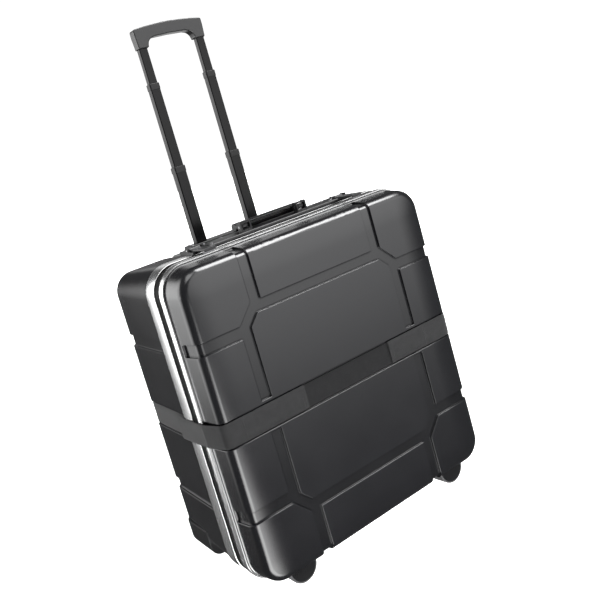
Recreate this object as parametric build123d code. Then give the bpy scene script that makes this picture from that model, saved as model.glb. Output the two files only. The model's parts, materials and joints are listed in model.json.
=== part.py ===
# Rolling hard-shell case: two drafted shells in aluminium frames, hinged at the bottom edge,
# with a three-stage telescopic handle, rear wheels, front feet and an all-round webbing strap.
# Millimetres. X is the width, -Y the front (lid) face, +Z up from the floor.
import math
import os
from build123d import *

os.makedirs("parts", exist_ok=True)

# ---- driving dimensions -------------------------------------------------------------------
W, H = 650.0, 678.0              # outside of the aluminium frames
R_FRAME = 60.0                   # outside corner radius of the frames
CZ = 364.0                       # height of the case's centre over the floor
TOP, BOT = CZ + H / 2, CZ - H / 2
Y_FRONT, Y_BACK = -172.5, 172.5  # outer faces of the two shells
Y_LID_RAIL = (-114.5, -95.5)     # band of the lid's frame
Y_CASE_RAIL = (-77.5, -35.5)     # band of the case's frame
RAIL_T, WEB_T, WEB_IN = 2.0, 1.5, 12.0
SHELL_T = 3.0                    # moulded wall
CH_D = 5.0                       # depth of the moulded channels
LID_DRAFT, CASE_DRAFT = 7.0, 3.0
LID_EDGE_R, CASE_EDGE_R = 18.0, 20.0
SEAT = 2.4                       # shell edge to frame outside

# channel pattern, measured from the case's centre line
X_V = (188.5, 214.0)             # long upright channels
X_T = (150.0, 175.5)             # short channels that run over the top and bottom edges
Z_H = (201.5, 225.5)             # level channels
Z_S = (162.0, 188.5)             # branches that run over the side edges
CH_X, CH_Z = 212.5, 226.0        # outer 45 degree corner
IN_X, IN_Z = 165.5, 178.0        # inner 45 degree corner
STRAP_Z = 363.0                  # centre of the strap channel
STRAP_CH, STRAP_W, STRAP_T = 56.0, 50.0, 1.8
CH_END = 33.0                    # the upright channels stop short of the strap channel
LID_NET_END, CASE_NET_END = 8.0, 11.0   # gap from the frames to where the channels end
STRAP_END = 0.5                  # the strap channel runs almost up to the frames

# telescopic handle
LEG_X, LEG_Y = 77.0, 147.5
S4 = (32.0, 25.5)                # fixed outer tube
S3, S2, S1 = (28.0, 21.5), (24.7, 18.2), (21.4, 14.9)
GAP = 0.35
Z_S3, Z_S2, Z_GRIP = 882.0, 1078.5, 1159.0
GRIP_TOP, GRIP_W, GRIP_D = 1210.0, 182.0, 24.0
COLLAR_H, COLLAR_LIP = 14.0, 1.0

# wheels and feet
WHEEL_R, WHEEL_W, WHEEL_X, WHEEL_Y = 40.0, 30.0, 245.0, 130.0
HOUSING_R, HOUSING_DRAFT, HOUSING_DROP = 34.0, 2.0, 4.0   # the wheel housings are squarer corners
FOOT_R, FOOT_X, FOOT_Y, FOOT_T = 35.0, 223.0, -136.0, 36.0

# top hardware
MOD_X, MOD_Y, MOD_T = 176.0, (-77.0, -17.0), 8.0
LATCH_X = 197.0
HINGE_X, HINGE_Y, HINGE_Z = 190.0, -86.5, BOT - 4.0

PARTS = {}


def put(name, shape):
    """Keep one named piece."""
    PARTS[name] = shape


def bx(x0, x1, y0, y1, z0, z1):
    """Box from its limits."""
    return Pos((x0 + x1) / 2, (y0 + y1) / 2, (z0 + z1) / 2) * Box(x1 - x0, y1 - y0, z1 - z0)


def cyl(axis, c, r, length):
    """Cylinder centred on c, along X, Y or Z."""
    rot = {"X": Rotation(0, 90, 0), "Y": Rotation(90, 0, 0), "Z": Rotation(0, 0, 0)}[axis]
    return Pos(*c) * rot * Cylinder(r, length)


def xz_plane(y, toward_front):
    """Sketch plane at depth y, local x along X and local y along Z from the case's centre."""
    z_dir = (0, -1, 0) if toward_front else (0, 1, 0)
    x_dir = (1, 0, 0) if toward_front else (-1, 0, 0)
    return Plane(origin=(0, y, CZ), x_dir=x_dir, z_dir=z_dir)


def drafted(y0, depth, front, off, edge_r, draft, corner=R_FRAME):
    """Solid of a shell's outside, moved inward by off, with a rounded closed end."""
    w, h, r = W - 2 * SEAT - 2 * off, H - 2 * SEAT - 2 * off, corner - SEAT - off
    pl = xz_plane(y0, front)
    body = extrude(pl * RectangleRounded(w, h, r), amount=depth - off, taper=draft)
    y_end = y0 - (depth - off) if front else y0 + (depth - off)
    rim = [e for e in body.edges() if abs(e.center().Y - y_end) < 0.01]
    return fillet(rim, edge_r - off)


def ring(y0, y1, off0, off1):
    """Rounded rectangular ring between two offsets from the frame's outside."""
    pl = xz_plane(y1, True)
    a = RectangleRounded(W - 2 * off0, H - 2 * off0, R_FRAME - off0)
    b = RectangleRounded(W - 2 * off1, H - 2 * off1, R_FRAME - off1)
    return extrude(pl * (a - b), amount=y1 - y0)


def channel_net(grow):
    """Two-dimensional net of the moulded channels, mirrored into four quarters."""
    far = 420.0
    quarter = [(0, Z_H[0]), (IN_X, Z_H[0]), (X_V[0], IN_Z), (X_V[0], CH_END), (X_V[1], CH_END),
               (X_V[1], Z_S[0]), (far, Z_S[0]), (far, Z_S[1]), (CH_X, Z_S[1]), (X_T[1], CH_Z),
               (X_T[1], far), (X_T[0], far), (X_T[0], Z_H[1]), (0, Z_H[1])]
    half = quarter + [(-x, z) for x, z in reversed(quarter)][1:-1]
    net = make_face(Polyline(*half, close=True))
    if grow:
        net = offset(net, grow, kind=Kind.INTERSECTION)
    return Sketch() + [net, mirror(net, about=Plane.XZ)]


def channels(front, y_pattern, y_strap, grow):
    """Channel cutters: the net ends short of the frame, the strap channel runs up to it."""
    y_far = Y_FRONT - 5 if front else Y_BACK + 5
    z_off = STRAP_Z - CZ
    band = Pos(0, z_off) * Rectangle(900, STRAP_CH + 2 * grow)
    pl = xz_plane(y_far, front)
    net = extrude(pl * channel_net(grow), amount=-abs(y_far - y_pattern) - grow)
    strap = extrude(pl * band, amount=-abs(y_far - y_strap) - grow)
    return net + strap


def shell(front):
    """One moulded shell: outside with channels, less an inside that follows them."""
    if front:
        y0, er, dr = Y_LID_RAIL[1] - WEB_T, LID_EDGE_R, LID_DRAFT
        y_pat, y_str = Y_LID_RAIL[0] - LID_NET_END, Y_LID_RAIL[0] - STRAP_END
        depth = y0 - Y_FRONT
    else:
        y0, er, dr = Y_CASE_RAIL[0] + WEB_T, CASE_EDGE_R, CASE_DRAFT
        y_pat, y_str = Y_CASE_RAIL[1] + CASE_NET_END, Y_CASE_RAIL[1] + STRAP_END
        depth = Y_BACK - y0
    outer = drafted(y0, depth, front, 0, er, dr)
    core = drafted(y0, depth, front, CH_D, er, dr)
    inner = drafted(y0, depth, front, SHELL_T, er, dr)
    core_in = drafted(y0, depth, front, CH_D + SHELL_T, er, dr)
    outside = outer - (channels(front, y_pat, y_str, 0) - core)
    inside = inner - (channels(front, y_pat, y_str, SHELL_T) - core_in)
    return outside - inside, outer


def ribbon(pts, t, z0, z1):
    """Flat webbing of thickness t that follows a line in plan."""
    n = len(pts)
    left, right = [], []
    for i, (x, y) in enumerate(pts):
        ax, ay = pts[max(i - 1, 0)]
        bx_, by_ = pts[min(i + 1, n - 1)]
        d1 = (x - ax, y - ay) if i > 0 else (bx_ - x, by_ - y)
        d2 = (bx_ - x, by_ - y) if i < n - 1 else d1
        u1 = (d1[0] / math.hypot(*d1), d1[1] / math.hypot(*d1))
        u2 = (d2[0] / math.hypot(*d2), d2[1] / math.hypot(*d2))
        nx, ny = -(u1[1] + u2[1]), u1[0] + u2[0]
        ln = math.hypot(nx, ny)
        nx, ny = nx / ln, ny / ln
        k = (t / 2) / max(0.4, -u1[1] * nx + u1[0] * ny)
        left.append((x + nx * k, y + ny * k))
        right.append((x - nx * k, y - ny * k))
    face = make_face(Polyline(*(left + right[::-1]), close=True))
    return extrude(Pos(0, 0, z0) * face, amount=z1 - z0)


def tube(size, wall, z0, z1, x, r=3.0):
    """Rounded rectangular tube standing at a handle leg."""
    o = RectangleRounded(size[0], size[1], r)
    i = RectangleRounded(size[0] - 2 * wall, size[1] - 2 * wall, max(r - wall, 0.8))
    return extrude(Pos(x, LEG_Y, z0) * (o - i), amount=z1 - z0)


# ---- shells and frames ----------------------------------------------------------------------
lid_shell, lid_solid = shell(True)
case_shell, case_solid = shell(False)

lid_frame = ring(*Y_LID_RAIL, 0, RAIL_T) + ring(Y_LID_RAIL[1] - WEB_T, Y_LID_RAIL[1], 0, WEB_IN)
case_frame = ring(*Y_CASE_RAIL, 0, RAIL_T) + ring(Y_CASE_RAIL[0], Y_CASE_RAIL[0] + WEB_T, 0, WEB_IN)
for y in (Y_CASE_RAIL[0] + 8, Y_CASE_RAIL[1] - 6):
    case_frame -= ring(y - 1, y + 1, -1, 0.6)
put("front_frame", lid_frame)
put("rear_frame", case_frame)
put("frame_seal", ring(Y_LID_RAIL[1] + 0.4, Y_CASE_RAIL[0], 2.5, 11.0))

# ---- wheels, housings and feet ----------------------------------------------------------------
case_y0 = Y_CASE_RAIL[0] + WEB_T
corner_form = Pos(0, 0, -HOUSING_DROP) * drafted(
    case_y0, Y_BACK - case_y0, False, 0, CASE_EDGE_R, HOUSING_DRAFT, HOUSING_R)
for side, s in (("left", -1), ("right", 1)):
    x, y, z = s * WHEEL_X, WHEEL_Y, WHEEL_R
    hw = 23.0
    lo, hi = sorted((x - s * hw, s * W))
    corner = bx(lo, hi, y - 68, Y_BACK + 30, -20, z + 54)
    case_shell -= corner
    lo, hi = sorted((x + s * (hw + 1), s * 308.0))
    housing = (corner & corner_form) - bx(lo, hi, y - 64, Y_BACK - 8, 50, z + 60)
    housing -= cyl("X", (x, y, z), WHEEL_R + 4, 2 * hw - 8)
    housing -= bx(x - hw + 4, x + hw - 4, y, Y_BACK + 2, 20, z + 30)
    housing -= cyl("X", (x, y, z), 4.0, 3 * hw)
    put(f"wheel_housing_{side}", housing)
    put(f"wheel_axle_{side}", cyl("X", (x, y, z), 3.95, 2 * hw))
    tyre = cyl("X", (x, y, z), WHEEL_R, WHEEL_W)
    tyre = fillet([e for e in tyre.edges() if e.geom_type == GeomType.CIRCLE], 5.0)
    tyre -= cyl("X", (x, y, z), 29.0, WHEEL_W + 2)
    put(f"wheel_tyre_{side}", tyre)
    hub = cyl("X", (x, y, z), 29.0, WHEEL_W - 4) - cyl("X", (x, y, z), 4.0, WHEEL_W)
    for k in (-1, 1):
        dish = cyl("X", (x + k * (WHEEL_W / 2 - 4), y, z), 24.0, 6.0)
        hub -= dish - cyl("X", (x, y, z), 9.0, WHEEL_W)
    put(f"wheel_hub_{side}", hub)

    fx = s * FOOT_X
    disc = cyl("Y", (fx, FOOT_Y, FOOT_R), FOOT_R, FOOT_T) & bx(fx - 60, fx + 60, -200, 0, -5, 60)
    pad = disc - cyl("Y", (fx, FOOT_Y, FOOT_R), FOOT_R - 4, FOOT_T + 2)
    core = cyl("Y", (fx, FOOT_Y, FOOT_R), FOOT_R - 4, FOOT_T + 4)
    put(f"foot_block_{side}", (core & bx(fx - 60, fx + 60, -200, 0, -5, 60)) - lid_solid)
    put(f"foot_tread_{side}", pad - lid_solid)

# ---- telescopic handle ------------------------------------------------------------------------
for s in (-1, 1):
    hole = Pos(s * LEG_X, LEG_Y, 690) * Box(S4[0] + 0.4, S4[1] + 0.4, 60)
    case_shell -= hole
put("rear_shell", case_shell)
put("front_shell", lid_shell)

z_fix_top = 689.0
bezel = bx(-112, 112, 129, 168, 670, 697) - case_solid
bezel = fillet(bezel.edges().group_by(Axis.Z)[-1], 2.5)
for s in (-1, 1):
    bezel -= bx(s * LEG_X - S4[0] / 2 - 0.2, s * LEG_X + S4[0] / 2 + 0.2,
                LEG_Y - S4[1] / 2 - 0.2, LEG_Y + S4[1] / 2 + 0.2, 660, 689.2)
    bezel -= Pos(s * LEG_X, LEG_Y, 700) * Box(S3[0] + 2 * GAP, S3[1] + 2 * GAP, 60)
put("handle_bezel", bezel)

legs = (("left", -1), ("right", 1))
for side, s in legs:
    x = s * LEG_X
    put(f"handle_fixed_tube_{side}", tube(S4, (S4[0] - S3[0]) / 2 - GAP, 110, z_fix_top, x, 3.5))
    put(f"handle_lower_tube_{side}", tube(S3, 1.3, 490, Z_S3 - 2, x))
    put(f"handle_middle_tube_{side}", tube(S2, 1.3, 740, Z_S2 - 2, x, 2.6))
    put(f"handle_upper_tube_{side}", tube(S1, 1.3, 930, Z_GRIP + 14, x, 2.2))


def collar(size, inner, z_top, x, r):
    """Plastic collar on a tube's upper end, with a hole for the next tube."""
    hx, hy = size[0] / 2 + COLLAR_LIP, size[1] / 2 + COLLAR_LIP
    c = bx(x - hx, x + hx, LEG_Y - hy, LEG_Y + hy, z_top - COLLAR_H, z_top)
    c = fillet(c.edges().filter_by(Axis.Z), 4.0)
    c = chamfer(c.edges().group_by(Axis.Z)[-1], 1.0)
    c -= extrude(Pos(x, LEG_Y, z_top - COLLAR_H) * RectangleRounded(*size, r), amount=COLLAR_H - 2)
    return c - Pos(x, LEG_Y, z_top) * Box(inner[0] + 2 * GAP, inner[1] + 2 * GAP, 40)


for stage, size, inner, zt, r in (("lower", S3, S2, Z_S3, 3.0), ("middle", S2, S1, Z_S2, 2.6)):
    cs = [collar(size, inner, zt, s * LEG_X, r) for _, s in legs]
    pins, z_pin = [], zt - COLLAR_H - 8
    for side, s in legs:
        x_face = s * LEG_X - size[0] / 2
        hole = cyl("X", (x_face, LEG_Y, z_pin), 3.4, 8)
        name = f"handle_{stage}_tube_{side}"
        PARTS[name] = PARTS[name] - hole
        pins.append(cyl("X", (x_face + 0.6, LEG_Y, z_pin), 3.4, 1.2))
    put(f"handle_{stage}_collars", Compound(children=cs))
    put(f"handle_{stage}_detents", Compound(children=pins))

# grip: moulded U with an open finger space under the bar
yg0, yg1 = LEG_Y - GRIP_D / 2, LEG_Y + GRIP_D / 2
g_out = [(-GRIP_W / 2 + 2, Z_GRIP), (-GRIP_W / 2, GRIP_TOP - 22), (-GRIP_W / 2, GRIP_TOP - 9),
         (-GRIP_W / 2 + 2.5, GRIP_TOP - 6.2), (-62, GRIP_TOP - 3), (-30, GRIP_TOP - 0.8), (0, GRIP_TOP)]
g_in = [(0, GRIP_TOP - 28), (-LEG_X + 36, GRIP_TOP - 29), (-LEG_X + 25, GRIP_TOP - 32),
        (-LEG_X + 18, GRIP_TOP - 38), (-LEG_X + 15, GRIP_TOP - 46), (-LEG_X + 14.5, Z_GRIP)]
loop = g_out + [(-x, z) for x, z in reversed(g_out)][1:]
loop += [(-x, z) for x, z in reversed(g_in)] + g_in[1:]
g_face = make_face(Polyline(*loop, close=True))
grip = extrude(Plane(origin=(0, yg1, 0), x_dir=(1, 0, 0), z_dir=(0, -1, 0)) * g_face, amount=GRIP_D)
for s in (-1, 1):
    grip -= extrude(Pos(s * LEG_X, LEG_Y, Z_GRIP - 1) * RectangleRounded(S1[0], S1[1], 2.2), amount=15)
grip -= bx(-17.4, 17.4, LEG_Y - 7.4, LEG_Y + 7.4, GRIP_TOP - 11, GRIP_TOP + 5)
put("handle_grip", grip)
button = bx(-17, 17, LEG_Y - 7, LEG_Y + 7, GRIP_TOP - 6, GRIP_TOP + 0.8)
put("handle_release_button", fillet(button.edges().group_by(Axis.Z)[-1], 0.8))

# bracket that ties the fixed tubes to the shell's back wall
tie = bx(-100, 100, 133, Y_BACK - SHELL_T, 96, 124)
for s in (-1, 1):
    tie -= extrude(Pos(s * LEG_X, LEG_Y, 110) * RectangleRounded(*S4, 3.5), amount=30)
put("handle_tube_bracket", tie)

# ---- bottom hinges ----------------------------------------------------------------------------
for side, s in legs:
    x = s * HINGE_X
    arm_z = (BOT - 2, BOT)
    rear = bx(x - 20, x + 20, Y_CASE_RAIL[0] + 1.5, Y_CASE_RAIL[0] + 28, *arm_z)
    for k in (-1, 1):
        rear += bx(x + k * 13.5 - 6.5, x + k * 13.5 + 6.5, HINGE_Y, Y_CASE_RAIL[0] + 2, *arm_z)
        rear += cyl("X", (x + k * 13.5, HINGE_Y, HINGE_Z), 4.0, 13.0)
    lidl = bx(x - 20, x + 20, Y_LID_RAIL[0] + 2, Y_LID_RAIL[1] - 1.5, *arm_z)
    lidl += bx(x - 6.5, x + 6.5, Y_LID_RAIL[1] - 2, HINGE_Y, *arm_z)
    lidl += cyl("X", (x, HINGE_Y, HINGE_Z), 4.0, 13.0)
    bore = cyl("X", (x, HINGE_Y, HINGE_Z), 2.05, 60)
    put(f"hinge_{side}_case_leaf", rear - bore)
    put(f"hinge_{side}_lid_leaf", lidl - bore)
    pin = cyl("X", (x, HINGE_Y, HINGE_Z), 2.0, 41.0)
    for k in (-1, 1):
        pin += cyl("X", (x + k * 21.0, HINGE_Y, HINGE_Z), 3.2, 1.4)
    put(f"hinge_{side}_pin", pin)

# ---- top module, latches and carry handle --------------------------------------------------------
mod = bx(-MOD_X, MOD_X, *MOD_Y, TOP, TOP + MOD_T)
mod = chamfer(mod.edges().group_by(Axis.Z)[-1], 2.0)
put("top_module", mod)

P_Y, P_Z = -50.0, TOP + 9.0
for side, s in legs:
    x = s * LATCH_X
    base = bx(x - 19, x + 19, *MOD_Y, TOP, TOP + 5)
    for k in (-1, 1):
        base += bx(x + k * 16.5 - 2.5, x + k * 16.5 + 2.5, P_Y - 8, P_Y + 8, TOP, TOP + 13)
    base += bx(x - 19, x + 19, P_Y + 8, MOD_Y[1], TOP, TOP + 8)
    pin_hole = cyl("X", (x, P_Y, P_Z), 1.55, 60)
    put(f"latch_{side}_base", base - pin_hole)
    lever = cyl("X", (x, P_Y, P_Z), 3.5, 27) + bx(x - 13.5, x + 13.5, -118, P_Y, TOP + 5.5, TOP + 9)
    lever += bx(x - 13.5, x + 13.5, -118, -114.6, TOP + 2.4, TOP + 9)
    lever -= bx(x - 30, x + 30, -114.8, -95, TOP - 1, TOP + 5.5)
    lever -= pin_hole
    lever -= cyl("Z", (x, -72, TOP + 8), 6.4, 20)
    put(f"latch_{side}_lever", lever)
    put(f"latch_{side}_pin", cyl("X", (x, P_Y, P_Z), 1.5, 38))
    core = cyl("Z", (x, -72, TOP + 7.6), 6.0, 4.0) - bx(x - 0.8, x + 0.8, -75, -69, TOP + 7, TOP + 12)
    put(f"latch_{side}_key_cylinder", core)
    put(f"latch_{side}_keeper", bx(x - 9, x + 9, Y_LID_RAIL[0] + 1, Y_LID_RAIL[1] - 1, TOP, TOP + 2.0))

# The carry handle lies folded back on the module; its arms turn on pins in two open brackets.
H_Y, H_Z, EYE_R = -64.0, TOP + 19.5, 6.0
ARM_X, ARM_HALF, BRACKET_HALF = 75.5, 7.5, 13.5
BAR_Y, BAR_Z = (-42.0, -22.0), (TOP + 9.5, TOP + 27.5)
carry = bx(-ARM_X - ARM_HALF, ARM_X + ARM_HALF, *BAR_Y, *BAR_Z)
carry = fillet(carry.edges().filter_by(Axis.X), 6.5)
for s in (-1, 1):
    x = s * ARM_X
    carry += bx(x - ARM_HALF, x + ARM_HALF, H_Y, BAR_Y[0] + 8, H_Z - 4.5, H_Z + 4.5)
    carry += cyl("X", (x, H_Y, H_Z), EYE_R, 2 * ARM_HALF)
carry -= cyl("X", (0, H_Y, H_Z), 2.45, 260)
put("carry_handle", carry)
for side, s in legs:
    x = s * ARM_X
    br = bx(x - BRACKET_HALF, x + BRACKET_HALF, H_Y - 9, H_Y + 6, TOP + MOD_T, H_Z + 11.5)
    br = fillet(br.edges().filter_by(Axis.Y).group_by(Axis.Z)[-1], 3.0)
    br -= bx(x - 9.5, x + 9.5, H_Y - 5, H_Y + 8, H_Z - 7.5, H_Z + 20)
    br -= bx(x - 9.5, x + 9.5, H_Y - 12, H_Y, H_Z - 7.5, H_Z + 7.5)
    br -= cyl("X", (x, H_Y, H_Z), 2.4, 40)
    put(f"carry_bracket_{side}", br)
    put(f"carry_pin_{side}", cyl("X", (x, H_Y, H_Z), 2.4, 2 * BRACKET_HALF))

# ---- webbing strap --------------------------------------------------------------------------------
z0, z1 = STRAP_Z - STRAP_W / 2, STRAP_Z + STRAP_W / 2
y_floor = Y_FRONT + CH_D
front_run = [(-298, -170.6), (-306, -169.2), (-311.5, -165.2), (-314.6, -159.5),
             (-326.3, -117.5), (-326.7, -113.0), (-326.7, -6.0)]
left_pts = [(-111, -170.6)] + front_run
right_pts = [(126, -170.6)] + [(-x, y) for x, y in front_run]
put("strap_front_left", ribbon(left_pts, STRAP_T, z0, z1))
put("strap_front_right", ribbon(right_pts, STRAP_T, z0, z1))
put("strap_front_centre", bx(-150, 165, y_floor - 2.0, y_floor, z0 + 1, z1 - 1))
side_run = [(-317.4, -28), (-307.4, 152.5), (-306.1, 158.9), (-302.5, 164.3), (-297.2, 167.8), (-290.8, 169.0)]
rear_pts = side_run + [(-x, y) for x, y in reversed(side_run)]
put("strap_rear", ribbon(rear_pts, STRAP_T, z0, z1))

for name, shape in PARTS.items():
    shape.label = name
    export_step(shape, f"parts/{name}.step")
print(len(PARTS), "parts")
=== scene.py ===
"""Looks for the rolling hard-shell case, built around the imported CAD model. Metres, Z up."""
import json
import math

import bmesh
import bpy
from mathutils import Matrix, Vector


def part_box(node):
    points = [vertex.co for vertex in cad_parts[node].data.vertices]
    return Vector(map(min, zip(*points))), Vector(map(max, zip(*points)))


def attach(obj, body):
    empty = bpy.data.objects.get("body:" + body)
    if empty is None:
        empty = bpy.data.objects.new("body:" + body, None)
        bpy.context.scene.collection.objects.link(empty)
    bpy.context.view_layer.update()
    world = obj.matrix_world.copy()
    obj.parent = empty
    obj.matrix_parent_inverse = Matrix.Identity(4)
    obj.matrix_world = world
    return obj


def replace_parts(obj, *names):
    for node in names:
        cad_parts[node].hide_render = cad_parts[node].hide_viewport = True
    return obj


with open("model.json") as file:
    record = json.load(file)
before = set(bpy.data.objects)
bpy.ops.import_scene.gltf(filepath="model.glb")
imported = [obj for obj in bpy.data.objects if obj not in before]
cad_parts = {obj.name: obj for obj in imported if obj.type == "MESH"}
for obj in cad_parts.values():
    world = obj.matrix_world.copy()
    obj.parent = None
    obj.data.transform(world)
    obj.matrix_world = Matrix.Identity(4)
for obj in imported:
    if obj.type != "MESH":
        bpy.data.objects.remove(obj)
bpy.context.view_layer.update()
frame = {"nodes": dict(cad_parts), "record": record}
nodes = frame["nodes"]
scene = bpy.context.scene
scene.view_settings.view_transform = "Standard"
scene.view_settings.look = "None"
MM = 0.001
SIDES = (("left", -1), ("right", 1))


# ---- camera -----------------------------------------------------------------------------------
CAMERA_PLACE = (-0.8857, -1.4234, 0.8793)
CAMERA_TURN = (29.423, -7.573, 16.605)      # azimuth, elevation and roll of the view, in degrees


def camera():
    """The photograph's viewpoint: from the front left, a little above, and rolled."""
    az, el, roll = (math.radians(v) for v in CAMERA_TURN)
    data = bpy.data.cameras.new("camera")
    data.lens, data.sensor_width = 45.0, 36.0
    data.shift_x, data.shift_y = 0.11, -0.075
    data.clip_start, data.clip_end = 0.05, 200.0
    cam = bpy.data.objects.new("camera", data)
    scene.collection.objects.link(cam)
    ahead = Vector((math.sin(az) * math.cos(el), math.cos(az) * math.cos(el), math.sin(el)))
    turn = ahead.to_track_quat("-Z", "Y").to_matrix() @ Matrix.Rotation(-roll, 3, "Z")
    cam.matrix_world = Matrix.Translation(CAMERA_PLACE) @ turn.to_4x4()
    scene.camera = cam


# ---- shader helpers ---------------------------------------------------------------------------
class Shader:
    """A material with its Principled node and short ways to add procedural detail."""

    def __init__(self, name, colour, rough, metal=0.0, spec=0.5):
        self.mat = bpy.data.materials.new(name)
        self.mat.use_nodes = True
        self.tree = self.mat.node_tree
        self.bsdf = self.tree.nodes["Principled BSDF"]
        self.colour, self.rough = colour, rough
        self.bsdf.inputs["Base Color"].default_value = (*colour, 1)
        self.bsdf.inputs["Roughness"].default_value = rough
        self.bsdf.inputs["Metallic"].default_value = metal
        self.bsdf.inputs["Specular IOR Level"].default_value = spec
        self.coord = self.tree.nodes.new("ShaderNodeTexCoord").outputs["Object"]
        self.height = None

    def add(self, kind, **values):
        """New node; values set its properties, or its inputs by name or as i0, i1 and so on."""
        n = self.tree.nodes.new(kind)
        for key, v in values.items():
            if hasattr(n, key):
                setattr(n, key, v)
                continue
            by_index = key[0] == "i" and key[1:].isdigit()
            socket = n.inputs[int(key[1:]) if by_index else key]
            if isinstance(v, bpy.types.NodeSocket):
                self.tree.links.new(v, socket)
            else:
                socket.default_value = v
        return n

    def math(self, op, a, b=0.0):
        return self.add("ShaderNodeMath", operation=op, i0=a, i1=b).outputs[0]

    def axes(self):
        n = self.add("ShaderNodeSeparateXYZ", i0=self.coord)
        return n.outputs["X"], n.outputs["Y"], n.outputs["Z"]

    def noise(self, size_mm, detail=2.0, stretch=(1, 1, 1), rough=0.5):
        """Noise whose features are about size_mm across, stretched along an axis."""
        v = self.add("ShaderNodeMapping", i0=self.coord, Scale=tuple(1.0 / s for s in stretch))
        n = self.add("ShaderNodeTexNoise", Vector=v.outputs[0], Scale=1000.0 / size_mm)
        n.inputs["Detail"].default_value, n.inputs["Roughness"].default_value = detail, rough
        return n.outputs["Fac"]

    def cells(self, size_mm):
        n = self.add("ShaderNodeTexVoronoi", Vector=self.coord, Scale=1000.0 / size_mm)
        return n.outputs["Distance"]

    def ramp(self, value, lo, hi, a, b):
        """Value remapped from lo..hi to a..b."""
        n = self.add("ShaderNodeMapRange", Value=value)
        for key, v in (("From Min", lo), ("From Max", hi), ("To Min", a), ("To Max", b)):
            n.inputs[key].default_value = v
        return n.outputs["Result"]

    def tint(self, fac, low, high):
        """Base colour between two shades of the material's colour."""
        n = self.add("ShaderNodeMix", data_type="RGBA")
        self.tree.links.new(fac, n.inputs[0])
        n.inputs[6].default_value = (*[c * low for c in self.colour], 1)
        n.inputs[7].default_value = (*[min(1, c * high) for c in self.colour], 1)
        self.tree.links.new(n.outputs[2], self.bsdf.inputs["Base Color"])
        return n.outputs[2]

    def gloss(self, fac, lo, hi):
        self.tree.links.new(self.ramp(fac, 0.3, 0.7, lo, hi), self.bsdf.inputs["Roughness"])

    def bump(self, height, depth_mm, strength=1.0):
        """Relief of a real depth, added on top of what is there."""
        n = self.add("ShaderNodeBump", Height=height, Distance=depth_mm * MM, Strength=strength)
        if self.height is not None:
            self.tree.links.new(self.height, n.inputs["Normal"])
        self.height = n.outputs["Normal"]
        self.tree.links.new(self.height, self.bsdf.inputs["Normal"])


def moulded(name, colour, rough, grain=0.9, depth=0.05, spec=0.4, spread=0.05):
    """Moulded plastic: fine spark-eroded grain, slow cloudy variation, paler worn edges."""
    s = Shader(name, colour, rough, spec=spec)
    fine, cloud = s.noise(grain, 3.0), s.noise(90, 3.0)
    edge = s.ramp(s.add("ShaderNodeNewGeometry").outputs["Pointiness"], 0.5, 0.58, 0.0, 0.8)
    s.tint(s.math("ADD", s.math("MULTIPLY", s.math("ADD", fine, cloud), 0.42), edge), 0.75, 1.55)
    s.gloss(s.math("MULTIPLY", s.math("ADD", fine, cloud), 0.5), rough - spread, rough + spread)
    s.bump(s.math("ADD", fine, s.math("MULTIPLY", s.cells(grain * 1.6), 0.6)), depth)
    return s


def metal(name, colour, rough, stretch, size=0.35, depth=0.006, metallic=1.0, wide=(0.75, 1.3),
          spec=0.5):
    """Drawn or brushed metal: fine lines along the stretched axes, faint handling marks."""
    s = Shader(name, colour, rough, metallic, spec)
    lines, cloud = s.noise(size, 2.0, stretch), s.noise(40, 3.0)
    s.tint(s.math("MULTIPLY", s.math("ADD", lines, cloud), 0.5), 0.82, 1.12)
    s.gloss(s.math("MULTIPLY", s.math("ADD", lines, cloud), 0.5), rough * wide[0], rough * wide[1])
    if depth:
        s.bump(lines, depth)
    return s


def rubber(name, colour, spec=0.35):
    s = Shader(name, colour, 0.62, spec=spec)
    fine, cloud = s.noise(1.4, 4.0), s.noise(25, 3.0)
    s.tint(s.math("MULTIPLY", s.math("ADD", fine, cloud), 0.5), 0.7, 1.6)
    s.gloss(cloud, 0.52, 0.72)
    s.bump(fine, 0.12)
    return s


def woven(name, colour, pitch=1.9, depth=0.25):
    """Webbing: yarns run along the strap, which goes round the case, and picks cross it."""
    s = Shader(name, colour, 0.72, spec=0.3)
    s.bsdf.inputs["Sheen Weight"].default_value = 0.15
    s.bsdf.inputs["Sheen Roughness"].default_value = 0.45
    x, y, z = s.axes()
    run = s.math("SUBTRACT", s.math("ABSOLUTE", x), y)
    slant = s.math("ADD", run, s.math("MULTIPLY", z, 0.5))

    def ribs(along, pitch_mm):
        phase = s.math("MULTIPLY", along, math.pi / (pitch_mm * MM))
        return s.math("ABSOLUTE", s.math("SINE", phase))

    yarn, pick = ribs(z, pitch), ribs(slant, pitch * 1.3)
    weave = s.math("MULTIPLY", s.math("POWER", yarn, 0.6), s.ramp(pick, 0, 1, 0.55, 1.0))
    wear = s.noise(14, 4.0)
    s.tint(s.math("MULTIPLY", weave, s.ramp(wear, 0.3, 0.7, 0.55, 1.1)), 0.35, 1.5)
    s.bump(weave, depth)
    s.bump(s.noise(6, 3.0), 0.2)
    return s


def hook_tape(name, colour):
    s = Shader(name, colour, 0.85, spec=0.2)
    loops, cloud = s.cells(1.1), s.noise(18, 3.0)
    s.tint(s.math("MULTIPLY", s.math("ADD", loops, cloud), 0.6), 0.5, 1.7)
    s.gloss(cloud, 0.75, 0.95)
    s.bump(loops, 0.3)
    return s


PANEL_MID_Z = 0.36                          # middle of the front and back panels
FALL_START_X, FALL_START_Z = 0.245, 0.27    # how far from the middle their slow fall starts
FALL_RATE_X, FALL_RATE_Z = 1900.0, 1100.0   # fall in millimetres per square metre from there
PAINTED_SHADE_REACH = 0.005                        # how far out of a hollow the painted shade dims the shells' reflection


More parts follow.
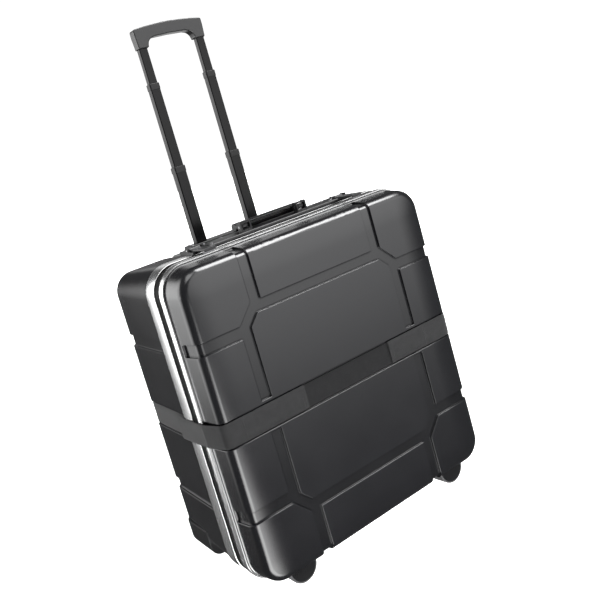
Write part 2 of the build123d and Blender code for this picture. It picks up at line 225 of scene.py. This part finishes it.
def crowned_with_painted_shade(s):
    """Shell panels that fall away slightly towards their outer edges, as drawn mouldings do.

    Painted shade: ambient occlusion darkens their specular tint along the walls of their channels,
    where shade falls.
    """
    x, _, z = s.axes()
    drops = []
    for along, start, rate in ((x, FALL_START_X, FALL_RATE_X),
                               (s.math("SUBTRACT", z, PANEL_MID_Z), FALL_START_Z, FALL_RATE_Z)):
        fall = s.math("MAXIMUM", s.math("SUBTRACT", s.math("ABSOLUTE", along), start), 0.0)
        drops.append(s.math("MULTIPLY", s.math("MULTIPLY", fall, fall), rate))
    s.bump(s.math("SUBTRACT", 0.0, s.math("ADD", *drops)), 1.0)
    # Painted shade: occlusion within a few millimetres darkens the shells' reflection in their
    # channels.
    hollow = s.add("ShaderNodeAmbientOcclusion", samples=6, only_local=True, Distance=PAINTED_SHADE_REACH)
    painted_hollow_shade = s.ramp(hollow.outputs["AO"], 0.55, 0.97, 0.05, 1.0)
    s.tree.links.new(painted_hollow_shade, s.bsdf.inputs["Specular Tint"])
    return s


MATERIALS = {
    "shell_plastic": crowned_with_painted_shade(moulded("shell_satin", (0.0062, 0.0063, 0.0072), 0.21, 0.8, 0.015,
                                     0.62, 0.03)),
    "frame_aluminium": metal("frame_satin", (0.93, 0.935, 0.94), 0.26, (60, 1, 60), 2.5, 0.0,
                             wide=(0.95, 1.05)),
    "seal_rubber": rubber("seal_rubber", (0.004, 0.004, 0.004), 0.1),
    "black_plastic": moulded("fittings_satin", (0.006, 0.006, 0.0065), 0.3, 0.6, 0.02, 0.24),
    "collar_plastic": moulded("collar_satin", (0.0045, 0.0045, 0.0048), 0.34, 0.6, 0.02, 0.26),
    "grip_plastic": moulded("grip_satin", (0.011, 0.011, 0.0115), 0.34, 0.6, 0.02, 0.42),
    "foot_rubber": rubber("foot_rubber", (0.085, 0.085, 0.086)),
    "button_plastic": moulded("button_matt", (0.008, 0.008, 0.009), 0.5, 0.6, 0.03),
    "latch_plastic": moulded("latch_satin", (0.01, 0.01, 0.011), 0.3, 0.6, 0.02),
    "bright_metal": metal("nickel", (0.8, 0.8, 0.82), 0.18, (8, 1, 1)),
    "dark_steel": metal("dulled_steel", (0.26, 0.26, 0.27), 0.36, (8, 1, 1)),
    "handle_tube_black": metal("anodised_tube", (0.005, 0.005, 0.0053), 0.24, (1, 1, 60), 1.5, 0.0,
                               0.4, spec=0.28),
    "tyre_rubber": rubber("tyre_rubber", (0.06, 0.06, 0.061)),
    "hub_plastic": moulded("hub_satin", (0.05, 0.05, 0.053), 0.4, 0.8, 0.04),
    "webbing": woven("webbing_weave", (0.0105, 0.0105, 0.0112)),
    "hook_tape": hook_tape("hook_tape_pile", (0.0085, 0.0085, 0.009)),
    # Painted shade: the rear strap is the same webbing made darker for the shade of the rear
    # shell's channel.
    "rear_webbing_painted_shade": woven("webbing_rear_painted_shade_weave", (0.0075, 0.0075, 0.008)),
    "thread": woven("thread_twist", (0.03, 0.03, 0.032), 0.6, 0.05),
}
SLOT_OF = {p["node"]: p["material_slot"] for p in frame["record"]["subparts"]}


def dress(obj, slot_name):
    """Gives a piece the material of the named slot, in place of any it had."""
    obj.data.materials.clear()
    obj.data.materials.append(MATERIALS[slot_name].mat)
    return obj


def piece(name, bm, body, slot_name, smooth=40.0):
    """Finished mesh piece on a body, with its edges sharper than smooth degrees kept sharp."""
    me = bpy.data.meshes.new(name)
    bmesh.ops.recalc_face_normals(bm, faces=bm.faces)
    for f in bm.faces:
        f.smooth = True
    for e in bm.edges:
        e.smooth = e.calc_face_angle(0.0) < math.radians(smooth)
    bm.to_mesh(me)
    bm.free()
    obj = bpy.data.objects.new(name, me)
    scene.collection.objects.link(obj)
    dress(obj, slot_name)
    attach(obj, body)
    return obj


BODY_OF = {n: b for b, ns in frame["record"]["behaviour"]["bodies"].items() for n in ns}


FLAT_ANGLE = 0.6        # degrees up to which neighbouring faces of a CAD mesh are one flat face
WELD = 2e-6             # metres


def refined(node, width_mm, segments=3, angle=30.0, keep=None, clamp=False, look=None):
    """A CAD node's exact form, with edges sharper than angle rounded, in place of the sharp one.

    Edges whose middle lies in the box keep, as (low, high), stay as they are. With clamp, no
    rounding runs into another. The look is the slot's own unless another is named.
    """
    bm = bmesh.new()
    bm.from_mesh(nodes[node].data)
    bmesh.ops.remove_doubles(bm, verts=bm.verts, dist=WELD)
    bmesh.ops.dissolve_limit(bm, angle_limit=math.radians(FLAT_ANGLE), verts=bm.verts,
                             edges=bm.edges)
    weight = bm.edges.layers.float.new("bevel_weight_edge")
    for e in bm.edges:
        c = (e.verts[0].co + e.verts[1].co) / 2
        kept = keep is not None and all(a <= v <= b for a, v, b in zip(keep[0], c, keep[1]))
        e[weight] = float(e.calc_face_angle(0.0) > math.radians(angle) and not kept)
    obj = piece(node + "_form", bm, BODY_OF[node], look or SLOT_OF[node], 30.0)
    mod = obj.modifiers.new("round", "BEVEL")
    mod.width, mod.segments, mod.limit_method = width_mm * MM, segments, "WEIGHT"
    mod.use_clamp_overlap, mod.miter_outer = clamp, "MITER_ARC"
    for e in obj.data.edges:
        e.use_edge_sharp = False
    obj.modifiers.new("weigh", "WEIGHTED_NORMAL").keep_sharp = False
    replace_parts(obj, node)
    return obj


# ---- webbing ----------------------------------------------------------------------------------
def smooth_line(points, step):
    """Catmull-Rom line through the points, in even steps."""
    p = [Vector(q) for q in points]
    p = [2 * p[0] - p[1]] + p + [2 * p[-1] - p[-2]]
    dense = []
    for i in range(1, len(p) - 2):
        a, b, c, d = p[i - 1:i + 3]
        for k in range(24):
            t = k / 24
            dense.append(0.5 * (2 * b + (c - a) * t + (2 * a - 5 * b + 4 * c - d) * t * t
                                + (3 * b - 3 * c + d - a) * t ** 3))
    dense.append(p[-2])
    out, left = [dense[0]], step
    for a, b in zip(dense, dense[1:]):
        d = (b - a).length
        while d >= left > 0:
            a = a.lerp(b, left / d)
            out.append(a)
            d, left = (b - a).length, step
        left -= d
    out.append(dense[-1])
    return out


STRAP_THICK = 1.7 * MM
STRAP_STEP = 4 * MM         # between the cross-sections of a strap


def webbing(line, zs, side, layers, ripple):
    """Closed woven ribbon along a plan line: rounded selvedges, doubled ends, slight waves."""
    pts = smooth_line(line, STRAP_STEP)
    bm, rings = bmesh.new(), []
    columns, z_mid, half = 10, (zs[0] + zs[1]) / 2, (zs[1] - zs[0]) / 2
    run = 0.0
    for i, p in enumerate(pts):
        a, b = pts[max(i - 1, 0)], pts[min(i + 1, len(pts) - 1)]
        run += (p - pts[i - 1]).length if i else 0.0
        along = (b - a).normalized()
        out = Vector((-along.y, along.x, 0))
        wave = ripple * (math.sin(run / 0.031) + 0.6 * math.sin(run / 0.0137 + 1.0))
        ring = []
        for face in (1, -1):
            for k in range(columns + 1):
                q = face * (-1 + 2 * k / columns)
                edge = math.sqrt(max(0.0, 1 - abs(q) ** 10))
                grow = layers(p) if face > 0 else 0.0
                bead = 0.12 * MM * math.exp(-((abs(q) - 0.93) / 0.03) ** 2)
                h = face * (STRAP_THICK / 2 * max(edge, 0.15) + bead) + grow * edge
                h += wave * (0.4 + 0.6 * q * q) * (1 if q > 0 else -0.7)
                if abs(q) == 1 and face < 0:
                    continue
                ring.append(bm.verts.new((side * (p.x + out.x * h), p.y + out.y * h,
                                          z_mid + half * q + wave * 0.5)))
        rings.append(ring)
    n = len(rings[0])
    for r0, r1 in zip(rings, rings[1:]):
        for k in range(n):
            bm.faces.new((r0[k], r0[(k + 1) % n], r1[(k + 1) % n], r1[k]))
    bm.faces.new(rings[0])
    bm.faces.new(rings[-1][::-1])
    return bm


STITCH_RADIUS, STITCH_LENGTH, STITCH_GAP = 0.32, 2.4, 1.0       # millimetres


def stitches(lines, name, body):
    """Rows of thread stitches between pairs of points, each a small rounded bar."""
    bm = bmesh.new()
    for a, b in lines:
        a, b = Vector(a), Vector(b)
        d = (b - a).normalized()
        turn = d.to_track_quat("Z", "Y").to_matrix().to_4x4()
        for k in range(int((b - a).length / ((STITCH_LENGTH + STITCH_GAP) * MM))):
            along = (k + 0.5) * (STITCH_LENGTH + STITCH_GAP) * MM
            m = Matrix.Translation(a + d * along) @ turn
            made = bmesh.ops.create_uvsphere(bm, u_segments=6, v_segments=4,
                                             radius=STITCH_RADIUS * MM)
            for v in made["verts"]:
                v.co = m @ Vector((v.co.x, v.co.y, v.co.z * STITCH_LENGTH / 2 / STITCH_RADIUS))
    return piece(name, bm, body, "thread", 80.0)


# Front straps: side, its sign, free end and lap in metres from the middle, waves in millimetres.
FRONT_STRAPS = (("left", -1, 0.111, 0.268, 0.42), ("right", 1, 0.126, 0.236, 0.5))
# Plan lines in millimetres of the left half: round the lid's shoulder, and down the rear shell.
SHOULDER = ((-298, -170.6), (-306, -169.2), (-311.5, -165.2), (-314.6, -159.5), (-326.3, -117.5))
REAR_HALF = ((-317.4, -28), (-314.0, 22), (-310.6, 85), (-307.4, 152.5), (-306.1, 158.9),
             (-302.5, 164.3), (-297.2, 167.8), (-290.8, 169.0))
FRAME_YS = (-0.113, -0.085, -0.06, -0.03)       # where the front straps pass over the frames
STRAP_CENTRE = 0.9 * MM     # a front strap's centre line, behind its outer face
LAP_GROWTH, HEM_GROWTH, HEM = 0.85 * MM, 0.25 * MM, 0.012


def straps():
    """The two front straps with their stitching, the rear strap and the flat strip."""
    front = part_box("strap_front_left")
    z0, z1 = front[0].z, front[1].z
    face, rim, back = front[0].y + STRAP_CENTRE, front[0].x + STRAP_CENTRE, front[1].y
    corner = SHOULDER[0][0] * MM
    for side, s, end, lap, ripple in FRONT_STRAPS:
        line = [(-end + (corner + end) * k / 5, face, 0) for k in range(5)]
        line += [(x * MM, y * MM, 0) for x, y in SHOULDER]
        line += [(rim, y, 0) for y in (*FRAME_YS, back)]

        def layers(p, end=end, lap=lap):
            over = LAP_GROWTH if abs(p.x) < lap else 0.0
            hem = HEM_GROWTH if abs(p.x) < end + HEM else 0.0
            return over + hem

        bm = webbing(line, (z0, z1), -s, layers, ripple * MM)
        strap = piece(f"webbing_front_{side}", bm, "lid", "webbing", 60.0)
        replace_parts(strap, f"strap_front_{side}")
        rows = []
        for x in (end + 0.004, end + 0.010, lap + 0.0025, lap - 0.0025):
            y = face - (1.75 if x < lap else 0.85) * MM
            rows.append(((s * x, y, z0 + 0.003), (s * x, y, z1 - 0.003)))
        stitches(rows, f"stitching_front_{side}", "lid")
    run = [(x * MM, y * MM, 0) for x, y in REAR_HALF]
    run += [(x * MM, REAR_HALF[-1][1] * MM, 0) for x in range(-240, 0, 60)]
    run += [(-p[0], p[1], 0) for p in reversed(run)]
    bm = webbing(run, (z0, z1), 1, lambda p: 0.0, 0.1 * MM)
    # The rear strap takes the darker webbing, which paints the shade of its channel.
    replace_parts(piece("webbing_rear", bm, "case", "rear_webbing_painted_shade", 60.0), "strap_rear")
    refined("strap_front_centre", 0.5)


# ---- floor, light -----------------------------------------------------------------------------
# Soft boxes of the surround, in degrees: azimuth from -Y towards +X, elevation, and the angles
# from there at which each is full and gone; then its strength.
SOFT_BOXES = (
    ("front", 28, 17, 10, 45, 2.4),
    ("low left", -18, -38, 8, 30, 9.5),
    ("back left", -128, 10, 10, 39, 4.4),
    ("overhead", 59, 56, 6, 22, 18.0),
    ("behind", 140, -20, 8, 26, 1.2),
    ("top sheen", 155, 22, 4, 17, 0.7),
)
SURROUND_BASE = 0.08


def surround():
    """World that lights the object: dim, with soft boxes as smooth lobes round their directions."""
    world = bpy.data.worlds.new("surround")
    scene.world = world
    world.use_nodes = True
    tree = world.node_tree
    direction = tree.nodes.new("ShaderNodeTexCoord").outputs["Generated"]
    total = None
    for name, az, el, full, none, strength in SOFT_BOXES:
        a, e = math.radians(az), math.radians(el)
        dot = tree.nodes.new("ShaderNodeVectorMath")
        dot.operation = "DOT_PRODUCT"
        dot.inputs[1].default_value = (math.sin(a) * math.cos(e), -math.cos(a) * math.cos(e),
                                       math.sin(e))
        tree.links.new(direction, dot.inputs[0])
        lobe = tree.nodes.new("ShaderNodeMapRange")
        lobe.interpolation_type, lobe.label = "SMOOTHERSTEP", name
        tree.links.new(dot.outputs["Value"], lobe.inputs["Value"])
        for key, v in (("From Min", math.cos(math.radians(none))),
                       ("From Max", math.cos(math.radians(full))),
                       ("To Min", 0.0), ("To Max", strength)):
            lobe.inputs[key].default_value = v
        if total is None:
            total = lobe.outputs["Result"]
        else:
            add = tree.nodes.new("ShaderNodeMath")
            tree.links.new(total, add.inputs[0])
            tree.links.new(lobe.outputs["Result"], add.inputs[1])
            total = add.outputs[0]
    base = tree.nodes.new("ShaderNodeMath")
    base.inputs[1].default_value = SURROUND_BASE
    tree.links.new(total, base.inputs[0])
    tree.nodes["Background"].inputs["Color"].default_value = (1, 1, 1, 1)
    tree.links.new(base.outputs[0], tree.nodes["Background"].inputs["Strength"])


FLOOR_Z = -0.32     # clear of the lid, which swings below the wheels of the upright case
KEY_PLACE, KEY_TARGET = (-1.2, -1.6, 3.4), (0, 0, 0.3)
KEY_SIZE, KEY_POWER, KEY_SPECULAR = 1.8, 45, 0.3


def studio():
    """White floor and dome that only the camera sees, the surround, and a soft key light."""
    for name, radius, strength in (("floor", 40.0, 1.0), ("dome", 39.0, 1.06)):
        bm = bmesh.new()
        if name == "floor":
            bmesh.ops.create_circle(bm, cap_ends=True, radius=radius, segments=96)
        else:
            bmesh.ops.create_uvsphere(bm, u_segments=48, v_segments=24, radius=radius)
        me = bpy.data.meshes.new(name)
        bm.to_mesh(me)
        bm.free()
        o = bpy.data.objects.new(name, me)
        o.location.z = FLOOR_Z
        scene.collection.objects.link(o)
        o.visible_diffuse = o.visible_glossy = o.visible_shadow = False
        s = Shader(name + "_paper", (0.8, 0.8, 0.8), 0.9, spec=0.0)
        s.tint(s.noise(60, 3.0), 0.99, 1.01)
        glow = s.add("ShaderNodeEmission", Color=(1, 1, 1, 1), Strength=strength)
        share = glow.outputs[0]
        if name == "floor":
            both = s.add("ShaderNodeAddShader", i0=s.bsdf.outputs[0], i1=glow.outputs[0])
            share = both.outputs[0]
        s.tree.links.new(share, s.tree.nodes["Material Output"].inputs["Surface"])
        me.materials.append(s.mat)
    surround()
    data = bpy.data.lights.new("key", "AREA")
    data.shape, data.size, data.size_y, data.energy = "RECTANGLE", KEY_SIZE, KEY_SIZE, KEY_POWER
    data.specular_factor = KEY_SPECULAR
    light = bpy.data.objects.new("key", data)
    scene.collection.objects.link(light)
    aim = (Vector(KEY_TARGET) - Vector(KEY_PLACE)).to_track_quat("-Z", "Y")
    light.matrix_world = Matrix.Translation(KEY_PLACE) @ aim.to_matrix().to_4x4()
    light.visible_camera = False


# ---- aluminium frames -------------------------------------------------------------------------
FRAME_CORNER = 0.060        # outer corner radius of both frames
CORNER_STEPS = 14


def perimeter(half_w, half_h, inset, centre_z):
    """A frame's rounded rectangle in XZ as (x, z) points, moved inwards by inset."""
    w, h, r = half_w - inset, half_h - inset, FRAME_CORNER - inset
    out = []
    for cx, cz, a0 in ((1, 1, 0), (-1, 1, 90), (-1, -1, 180), (1, -1, 270)):
        for k in range(CORNER_STEPS + 1):
            a = math.radians(a0 + 90 * k / CORNER_STEPS)
            out.append((cx * (w - r) + r * math.cos(a), centre_z + cz * (h - r) + r * math.sin(a)))
    return out


def rail(node, profile, lip=False):
    """Section swept round a frame, or the rear frame's sealing lip.

    The profile is a closed line of (depth, inset) in millimetres.
    """
    lo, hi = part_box(node)
    half_w, half_h, mid = (hi.x - lo.x) / 2, (hi.z - lo.z) / 2, (hi.z + lo.z) / 2
    bm, loops = bmesh.new(), []
    for y, inset in profile:
        loops.append([bm.verts.new((x, lo.y + y * MM, z))
                      for x, z in perimeter(half_w, half_h, inset * MM, mid)])
    for a, b in zip(loops, loops[1:] + loops[:1]):
        for k in range(len(a)):
            n = (k + 1) % len(a)
            bm.faces.new((a[k], a[n], b[n], b[k]))
    if lip:
        return piece(node + "_lip", bm, BODY_OF[node], "seal_rubber", 50.0)
    obj = piece(node + "_section", bm, BODY_OF[node], SLOT_OF[node], 50.0)
    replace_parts(obj, node)
    return obj


def arc(y0, y1, edge, crown, n=6):
    """Convex run of a section from y0 to y1, inset by edge at its sides and crown midway."""
    out = []
    for k in range(n + 1):
        t = -1 + 2 * k / n
        out.append((y0 + (y1 - y0) * (k / n), crown + (edge - crown) * t * t))
    return out


LID_SECTION = (arc(0.0, 4.6, 1.2, 0.3) + [(5.0, 1.5), (7.2, 1.5)] + arc(7.6, 19.0, 1.2, 0.15, 10)
               + [(19.0, 12.0), (17.5, 12.0), (17.5, 3.4), (0.2, 3.4)])
CASE_SECTION = ([(0.0, 12.0), (0.0, 3.0), (4.8, 3.0)] + arc(5.2, 42.0, 0.95, 0.15, 16)
                + [(41.8, 3.4), (5.5, 4.4), (1.5, 4.4), (1.5, 12.0)])
LIP_SECTION = arc(0.4, 4.7, 2.0, 1.5) + [(4.7, 3.1), (0.4, 3.1)]


# ---- wheels -----------------------------------------------------------------------------------
def turned(profile, centre, steps=72):
    """Mesh turned round the X axis through centre; profile is a closed (x, radius) line in mm."""
    bm, rings = bmesh.new(), []
    for k in range(steps):
        a = 2 * math.pi * k / steps
        rings.append([bm.verts.new((centre.x + x * MM, centre.y + r * MM * math.cos(a),
                                    centre.z + r * MM * math.sin(a))) for x, r in profile])
    n = len(profile)
    for k in range(steps):
        a, b = rings[k], rings[(k + 1) % steps]
        for i in range(n):
            bm.faces.new((a[i], a[(i + 1) % n], b[(i + 1) % n], b[i]))
    return bm


def bar_between(bm, centre, angle, r0, r1, width, x0, x1):
    """Radial rib of a wheel, in millimetres from its centre."""
    m = Matrix.Translation(centre) @ Matrix.Rotation(angle, 4, "X")
    corners = [(x, y, r) for x in (x0, x1) for y in (-width / 2, width / 2) for r in (r0, r1)]
    v = [bm.verts.new(m @ Vector((x * MM, y * MM, r * MM))) for x, y, r in corners]
    for f in ((0, 1, 3, 2), (4, 6, 7, 5), (0, 4, 5, 1), (2, 3, 7, 6), (0, 2, 6, 4), (1, 5, 7, 3)):
        bm.faces.new([v[i] for i in f])


TYRE_DEPTH, HUB_INSET, BORE = 11, 2, 4.1        # millimetres
GROOVES = (-7.0, 0.0, 7.0)
RIBS = 6


def wheel(side):
    """Tyre with tread grooves, and a ribbed hub, round the CAD wheel's axis."""
    lo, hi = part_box(f"wheel_tyre_{side}")
    centre, half, rad = (lo + hi) / 2, (hi.x - lo.x) / 2 / MM, (hi.z - lo.z) / 2 / MM
    tread = [(-half, rad - TYRE_DEPTH), (-half, rad - 4.5), (-half + 1.2, rad - 1.8),
             (-half + 4, rad)]
    for x in GROOVES:
        tread += [(x - 1.3, rad), (x - 0.9, rad - 1.8), (x + 0.9, rad - 1.8), (x + 1.3, rad)]
    tread += [(half - 4, rad), (half - 1.2, rad - 1.8), (half, rad - 4.5),
              (half, rad - TYRE_DEPTH)]
    tyre = piece(f"tyre_{side}_treaded", turned(tread, centre), f"wheel_{side}", "tyre_rubber",
                 35.0)
    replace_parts(tyre, f"wheel_tyre_{side}")
    w = half - HUB_INSET
    rim = rad - TYRE_DEPTH - 0.02       # just clear of the tyre
    hub = [(-w, rim), (-w, rim - 4), (-w + 7, rim - 5.5), (-w + 8, 11), (-w + 1, 9.5), (-w, 8.5),
           (-w, BORE)]
    hub += [(-x, r) for x, r in reversed(hub)]
    bm = turned(hub, centre)
    for k in range(RIBS):
        bar_between(bm, centre, 2 * math.pi * k / RIBS, 9.0, rim - 4.0, 4.2, -w + 1.5, w - 1.5)
    hub_piece = piece(f"hub_{side}_ribbed", bm, f"wheel_{side}", "hub_plastic", 35.0)
    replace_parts(hub_piece, f"wheel_hub_{side}")


# ---- fasteners --------------------------------------------------------------------------------
HEAD_STEPS = 24
HEAD_RINGS = ((1.0, -0.3), (1.0, 0.35), (0.93, 0.62), (0.78, 0.85), (0.5, 0.97))    # radius, height
CROSS_RIM = (0.46, 0.3, 0.3, 0.17, 0.3, 0.3)    # radii of the recess, four times round the head
CROSS_FLOOR = (0.28, 0.35)                      # radius and height of its floor


def fastener(bm, where, normal, radius, height, cross):
    """Pan-head screw with a cross recess, or a plain rivet dome, as a lathe form on a face."""
    turn = Vector(normal).normalized().to_track_quat("Z", "Y").to_matrix().to_4x4()
    m = Matrix.Translation(Vector(where)) @ turn

    def ring(radii, share):
        loop = []
        for k in range(HEAD_STEPS):
            a, r = 2 * math.pi * k / HEAD_STEPS, radius * radii[k % len(radii)]
            point = Vector((r * math.cos(a), r * math.sin(a), height * share))
            loop.append(bm.verts.new(m @ point))
        return loop

    rings = [ring((f,), h) for f, h in HEAD_RINGS]
    if cross:
        rings.append(ring(CROSS_RIM, HEAD_RINGS[-1][1]))
        rings.append(ring(CROSS_FLOOR[:1], CROSS_FLOOR[1]))
    for a, b in zip(rings, rings[1:]):
        for k in range(HEAD_STEPS):
            n = (k + 1) % HEAD_STEPS
            bm.faces.new((a[k], a[n], b[n], b[k]))
    bm.faces.new(rings[0][::-1])
    bm.faces.new(rings[-1])


def fasteners(name, spots, radius, height, cross=True):
    """One piece of equal fasteners on the case; spots are pairs of a place and a direction."""
    bm = bmesh.new()
    for where, normal in spots:
        fastener(bm, where, normal, radius * MM, height * MM, cross)
    return piece(name, bm, "case", "dark_steel", 40.0)


UP, DOWN = (0, 0, 1), (0, 0, -1)
MODULE_SCREW_INSET, MODULE_SCREW_XS = 0.012, (0.162, 0.118)
BEZEL_SCREW_X, BEZEL_SCREW_YS = 0.104, (0.137, 0.159)
HINGE_X, RIVET_SPREAD, RIVET_IN, RIVET_UP = 0.190, 0.013, 0.008, 0.002


def add_fasteners():
    """Screws of the module cover and the bezel, and rivets of the hinges."""
    plate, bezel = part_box("top_module"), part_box("handle_bezel")
    front_y, back_y = plate[0].y + MODULE_SCREW_INSET, plate[1].y - MODULE_SCREW_INSET
    outer, inner = MODULE_SCREW_XS
    places = ((outer, front_y), (outer, back_y), (inner, back_y))
    fasteners("module_screws", [((s * x, y, plate[1].z), UP) for s in (-1, 1) for x, y in places],
              3.4, 1.5)
    fasteners("bezel_screws", [((s * BEZEL_SCREW_X, y, bezel[1].z), UP)
                               for s in (-1, 1) for y in BEZEL_SCREW_YS], 3.0, 1.3)
    for side, s in SIDES:
        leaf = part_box(f"hinge_{side}_case_leaf")
        y, z = leaf[1].y - RIVET_IN, leaf[1].z - RIVET_UP
        fasteners(f"hinge_{side}_rivets", [((s * HINGE_X + dx, y, z), DOWN)
                                           for dx in (-RIVET_SPREAD, RIVET_SPREAD)],
                  2.6, 0.9, False)


# ---- the whole --------------------------------------------------------------------------------
camera()
studio()
for n, obj in nodes.items():
    obj.data.materials.clear()
    obj.data.materials.append(MATERIALS[SLOT_OF[n]].mat)
straps()
for n in ("front_shell", "rear_shell"):
    refined(n, 1.0, 3, 32)
# Rounding in millimetres, and the nodes that take it; PAIRED ones are there on both sides.
ROUNDED = {
    0.8: ["top_module", "handle_bezel"],
    0.6: ["handle_release_button"],
}
PAIRED = {
    1.5: ["wheel_housing_{}"],
    0.7: ["latch_{}_base", "latch_{}_lever", "foot_block_{}"],
    0.4: ["carry_bracket_{}", "hinge_{}_case_leaf", "hinge_{}_lid_leaf", "latch_{}_keeper"],
}
for width, names in ROUNDED.items():
    for n in names:
        refined(n, width)
for width, names in PAIRED.items():
    for n in names:
        for side, _ in SIDES:
            refined(n.format(side), width)
for side, _ in SIDES:
    refined(f"foot_tread_{side}", 0.7, look="foot_rubber")
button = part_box("handle_release_button")
clear = Vector((0.002, 0.002, 0.008))       # the button's pocket in the grip stays sharp
refined("handle_grip", 2.5, 4, 25, keep=(button[0] - clear, button[1] + clear), look="grip_plastic")
refined("carry_handle", 2.6, 4, 40)
for n in ("handle_lower_collars", "handle_middle_collars"):
    refined(n, 0.3, 2, 50, clamp=True, look="collar_plastic")
rail("front_frame", LID_SECTION)
rail("rear_frame", CASE_SECTION)
rail("rear_frame", LIP_SECTION, lip=True)
for side, _ in SIDES:
    wheel(side)

add_fasteners()
